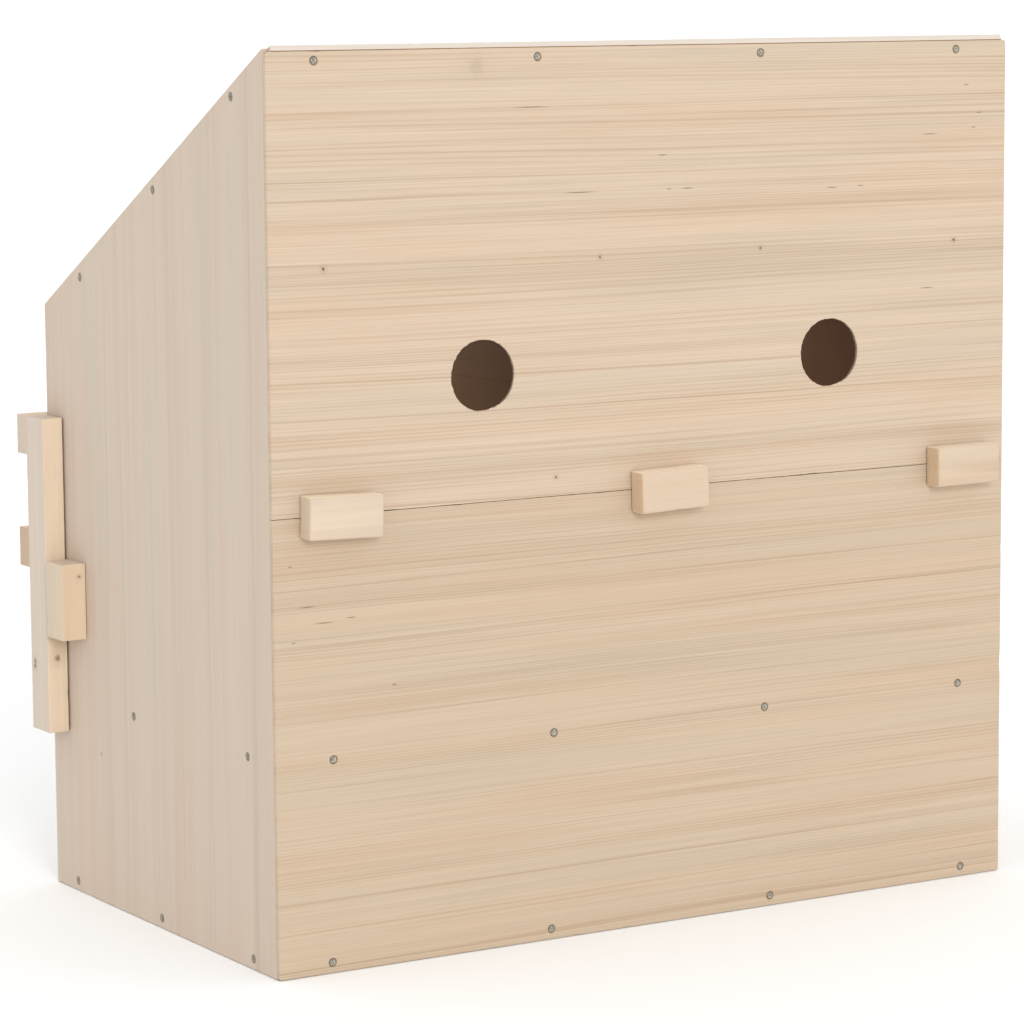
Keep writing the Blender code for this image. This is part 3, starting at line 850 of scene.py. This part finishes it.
roof_spots = [(head.x, (head.y - side_low.y) / cos(SLOPE)) for head in roof_heads]
roof_holes = [screw_hole(centre, 60 + k) for k, centre in enumerate(roof_spots)]
roof_outline = rectangle(roof_low.x, 0.0, roof_high.x, roof_run)
roof_bm = sheet(on_roof, roof_outline, roof_holes, {}, seed=11)
roof_wood = wood("roof_wood", ROOF, "X", "Z", seed=11, screws=flat(roof_heads, 0, 1), show=1,
                 end_colour=PLY_END)
piece("plywood_roof_sheet", roof_bm, (roof_wood,), "box", "side_plywood", "roof_sheet")

divider_low, divider_high = (Vector(corner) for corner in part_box("divider_sheet"))
rear_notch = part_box("roof_batten_rear")[0][1] - GAP
front_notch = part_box("roof_batten_front")[1][1] + GAP
under_sheet = SHEET + GAP
under_batten = under_sheet + BATTEN_THICK + GAP
divider_outline = [
    (divider_low.y, divider_low.z),
    (divider_high.y, divider_low.z),
    (divider_high.y, roof_z(divider_high.y, under_batten)),
    (rear_notch, roof_z(rear_notch, under_batten)),
    (rear_notch, roof_z(rear_notch, under_sheet)),
    (front_notch, roof_z(front_notch, under_sheet)),
    (front_notch, roof_z(front_notch, under_batten)),
    (divider_low.y, roof_z(divider_low.y, under_batten)),
]
# Painted shade: the divider stands wholly inside the box, so its wood colours are darker and browner for
# the dim inside
INNER_SHADE_GRAIN = SIDE._replace(
    base=rgb(178, 134, 90), warm=rgb(176, 130, 84), cool=rgb(170, 132, 92), line=GLUE_COLOUR)
add_sheet("divider_sheet", INNER_SHADE_GRAIN, "Y", "X", None, lambda u, v, d: Vector((divider_high.x - d, u, v)),
          divider_outline, seed=12)


# ---------------------------------------------------------------- battens, blocks and perch

def sloped(node):
    """A roof batten's level box, and how it is pushed up to the roof's slope."""
    low, high = (Vector(corner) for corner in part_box(node))
    top = high.z - RISE * (high.y - low.y)

    def push(co):
        return Vector((co.x, co.y, co.z + RISE * (co.y - low.y)))

    return low, Vector((high.x, high.y, top)), push


def add_plank(node, along, through, body, seed, grain=BATTEN, worn=0.25, knots=(), ease=0.0006,
              end=BATTEN_END):
    """Batten, block or cleat in place of its CAD node, with its wood."""
    low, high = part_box(node)
    bend = None
    if node.startswith("roof_batten"):
        low, high, bend = sloped(node)
    if node in CLEAT_TILTS:
        middle = (Vector(low) + Vector(high)) / 2
        half = Vector((CLEAT_LENGTH, high[1] - low[1], CLEAT_HEIGHT)) / 2
        low, high = middle - half, middle + half
        tilt = Matrix.Rotation(radians(CLEAT_TILTS[node]), 3, "Y")

        def bend(co):
            return middle + tilt @ (co - middle)

    bm = plank(low, high, along, seed, worn, bend, ease)
    material = wood(node + "_wood", grain, along, through, seed, knots=knots, end_colour=end)
    piece("planed_" + node, bm, (material,), body, "batten_wood", node)


for seed, part in enumerate(("roof", "floor", "base"), start=30):
    add_plank(part + "_batten_rear", "X", "Z", "box", seed)
    add_plank(part + "_batten_front", "X", "Z", "box", seed + 10)
    add_plank(part + "_batten_right", "Y", "Z", "box", seed + 20)
    add_plank(part + "_batten_left", "Y", "Z", "box", seed + 30)
add_plank("roof_batten_middle", "Y", "Z", "box", seed=71)
add_plank("divider_foot_batten", "Y", "Z", "box", seed=72)

for seed, node in enumerate(sorted(CLEAT_TILTS), start=80):
    base, end = CLEAT_TONES[node]
    add_plank(node, "X", "Y", "box", seed, cleat_grain(base), worn=0.7, ease=0.0017, end=end)
for seed, node in enumerate(("stop_block_right", "stop_block_left"), start=85):
    low, high = (Vector(corner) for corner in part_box(node))
    knot = (low.x + 0.27 * (high.x - low.x), high.y, low.z + 0.83 * (high.z - low.z))
    add_plank(node, "Z", "X", "box", seed, BLOCK, worn=0.35, knots=[(knot, 0.0012, 0.7)])
for seed, node in enumerate(("perch_arm_right", "perch_arm_left"), start=90):
    low, high = (Vector(corner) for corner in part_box(node))
    outer = low.x if "left" in node else high.x
    knots = [
        ((outer, low.y + 0.0065, low.z + 0.0490), 0.0019, 0.8),
        ((outer, low.y + 0.0070, low.z + 0.0525), 0.0019, 0.8),
        (((low.x + high.x) / 2, high.y, low.z + 0.057), 0.0026, 0.7),
    ]
    add_plank(node, "Z", "X", "perch", seed, knots=knots)
lower_rail_grain = BATTEN._replace(cool=rgb(188, 164, 142))
add_plank("perch_rail_upper", "X", "Y", "perch", seed=94)
add_plank("perch_rail_lower", "X", "Y", "perch", seed=95, grain=lower_rail_grain, end=rgb(176, 148, 120))


# ---------------------------------------------------------------- pivot hardware

for node in nodes_named("pivot_"):
    hardware = frame["nodes"][node]
    hardware.data.materials.clear()
    hardware.data.materials.append(ZINC)
    soften = hardware.modifiers.new("soft_edges", "BEVEL")
    soften.width = 0.0002
    soften.segments = 2
    soften.limit_method = "ANGLE"
    soften.angle_limit = radians(40)


# ---------------------------------------------------------------- floor, light and camera

def add_floor():
    mesh = bpy.data.meshes.new("studio_floor")
    reach = 2000.0
    drop = -0.0005
    mesh.from_pydata([(x, y, drop) for x, y in rectangle(-reach, -reach, reach, reach)], [], [(0, 1, 2, 3)])
    g = Graph("pale_floor")
    g.shader.inputs["Base Color"].default_value = (0.98, 0.99, 0.99, 1.0)
    g.shader.inputs["Roughness"].default_value = 0.9
    g.shader.inputs["Specular IOR Level"].default_value = 0.1
    mesh.materials.append(g.material)
    floor = bpy.data.objects.new("studio_floor", mesh)
    bpy.context.collection.objects.link(floor)


def add_sun(name, towards, strength, softness):
    """A white sun that stands in the direction towards; softness is its width as an angle."""
    light = bpy.data.lights.new(name, "SUN")
    light.color = (1.0, 1.0, 1.0)
    light.energy = strength
    light.angle = softness
    lamp = bpy.data.objects.new(name, light)
    lamp.rotation_euler = Vector(towards).to_track_quat("Z", "Y").to_euler()
    bpy.context.collection.objects.link(lamp)


def add_light():
    world = bpy.data.worlds.new("studio")
    world.use_nodes = True
    sky = world.node_tree.nodes["Background"]
    sky.inputs["Color"].default_value = (1.0, 1.0, 1.0, 1.0)
    sky.inputs["Strength"].default_value = 1.02
    bpy.context.scene.world = world
    add_sun("soft_key", (0.28, 1.00, 0.36), 1.1, radians(18))
    bpy.context.scene.view_settings.view_transform = "Standard"


def add_camera():
    ahead = Vector((-sin(CAMERA_AZIMUTH) * cos(CAMERA_DOWN), cos(CAMERA_AZIMUTH) * cos(CAMERA_DOWN),
                    -sin(CAMERA_DOWN)))
    right = ahead.cross(Vector((0, 0, 1))).normalized()
    up = right.cross(ahead)
    rolled_right = right * cos(CAMERA_ROLL) + up * sin(CAMERA_ROLL)
    rolled_up = up * cos(CAMERA_ROLL) - right * sin(CAMERA_ROLL)
    data = bpy.data.cameras.new("camera")
    data.lens = CAMERA_LENS
    data.sensor_width = CAMERA_SENSOR
    camera = bpy.data.objects.new("camera", data)
    turn = Matrix((rolled_right, rolled_up, -ahead)).transposed()
    camera.matrix_world = Matrix.Translation(CAMERA_PLACE) @ turn.to_4x4()
    bpy.context.collection.objects.link(camera)
    bpy.context.scene.camera = camera


add_floor()
add_light()
add_camera()
bpy.context.view_layer.update()
